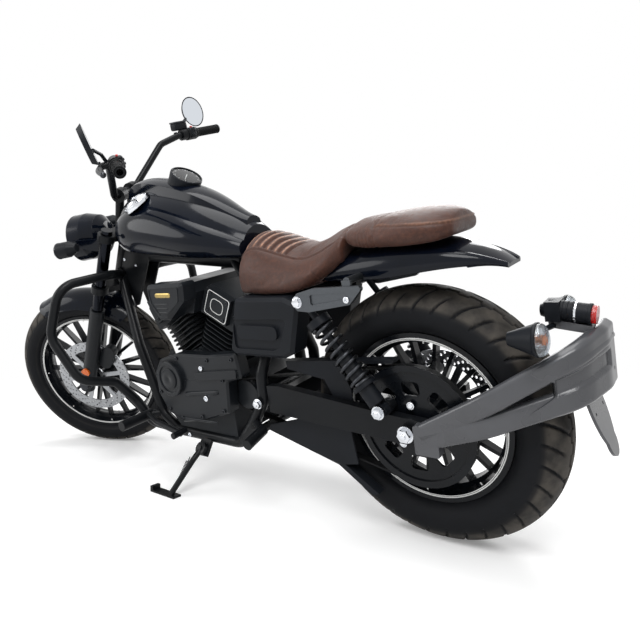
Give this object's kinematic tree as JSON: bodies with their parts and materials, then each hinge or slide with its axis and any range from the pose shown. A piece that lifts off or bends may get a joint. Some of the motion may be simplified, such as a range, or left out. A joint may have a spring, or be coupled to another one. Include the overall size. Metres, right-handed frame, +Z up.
{
  "type": "cruiser motorcycle",
  "caption": "Mid-size V-twin cruiser motorcycle leaning on its side stand, steering on its left stop, with belt drive, stepped leather saddle and engine guards.",
  "frame": {"origin": "centre of the parked machine on the ground, at the middle of its bounding box", "axes": "+X forward along the machine, +Y to its left, +Z up; the machine leans to +Y on its side stand"},
  "size_m": [2.1488, 0.8335, 1.4016],
  "materials": {
    "frame_paint": "satin black",
    "tank_paint": "gloss blue-black",
    "engine_paint": "satin dark grey",
    "alloy": "satin silver",
    "chrome": "polished",
    "steel": "machined",
    "saddle_leather": "matte brown",
    "tyre": "black",
    "rubber": "matte black",
    "black_plastic": "matte black",
    "clear_lens": "clear",
    "red_lens": "red",
    "amber_lens": "amber",
    "mirror": "silvered"
  },
  "bodies": {
    "rear_wheel": {"rear_rim": "frame_paint", "rear_tyre": "tyre", "rear_disc": "steel", "rear_pulley": "engine_paint"},
    "front_wheel": {"front_rim": "frame_paint", "front_tyre": "tyre", "front_disc": "steel"},
    "chassis": {"swingarm": "frame_paint", "rear_axle": "steel", "dampers": "black_plastic", "damper_springs": "steel", "drive_belt": "rubber", "drive_pulley": "engine_paint", "cylinder_barrels": "engine_paint", "cylinder_heads": "engine_paint", "engine_covers": "engine_paint", "crankcase": "engine_paint", "intake": "engine_paint", "exhaust": "steel", "side_covers": "engine_paint", "tank_console": "tank_paint", "speedometer": "black_plastic", "fuel_cap": "chrome", "fuel_tank": "tank_paint", "rider_seat": "saddle_leather", "pillion_seat": "saddle_leather", "tail_fender": "tank_paint", "fender_struts": "alloy", "engine_guards": "frame_paint", "rider_pegs": "frame_paint", "passenger_pegs": "frame_paint", "main_frame": "frame_paint", "belt_guards": "black_plastic", "plate_arm": "frame_paint", "mudflap": "black_plastic", "tail_lamp": "black_plastic", "tail_lamp_lens": "red_lens", "rear_signals": "black_plastic", "rear_signal_lenses": "clear_lens", "rear_caliper": "engine_paint"},
    "steering": {"fork_tubes": "chrome", "front_caliper": "engine_paint", "fork_sliders": "engine_paint", "front_axle": "steel", "front_mudguard": "tank_paint", "fork_reflectors": "amber_lens", "handlebar": "frame_paint", "grips": "rubber", "fork_yokes": "frame_paint", "hand_controls": "frame_paint", "mirrors": "black_plastic", "mirror_glasses": "mirror", "headlight": "engine_paint", "headlight_lens": "clear_lens", "front_signals": "black_plastic", "front_signal_lenses": "clear_lens"},
    "side_stand": {"side_stand": "frame_paint"}
  },
  "joints": [
    {"name": "steering", "type": "hinge", "parent": "chassis", "child": "steering", "pos_m": [0.49216, -0.03406, 0.75552], "axis": [-0.4631, 0.1615, 0.8715], "range_deg": [-56, 0]},
    {"name": "front_wheel_spin", "type": "hinge", "parent": "steering", "child": "front_wheel", "pos_m": [0.76427, -0.09661, 0.31501], "axis": [-0.4161, 0.8285, -0.3747], "continuous": true},
    {"name": "rear_wheel_spin", "type": "hinge", "parent": "chassis", "child": "rear_wheel", "pos_m": [-0.67163, -0.11497, 0.31899], "axis": [0, 0.9833, -0.1822], "continuous": true},
    {"name": "side_stand_fold", "type": "hinge", "parent": "chassis", "child": "side_stand", "pos_m": [0.06216, -0.00638, 0.12566], "axis": [0.0046, 0.8704, 0.4924], "range_deg": [0, 95]}
  ]
}
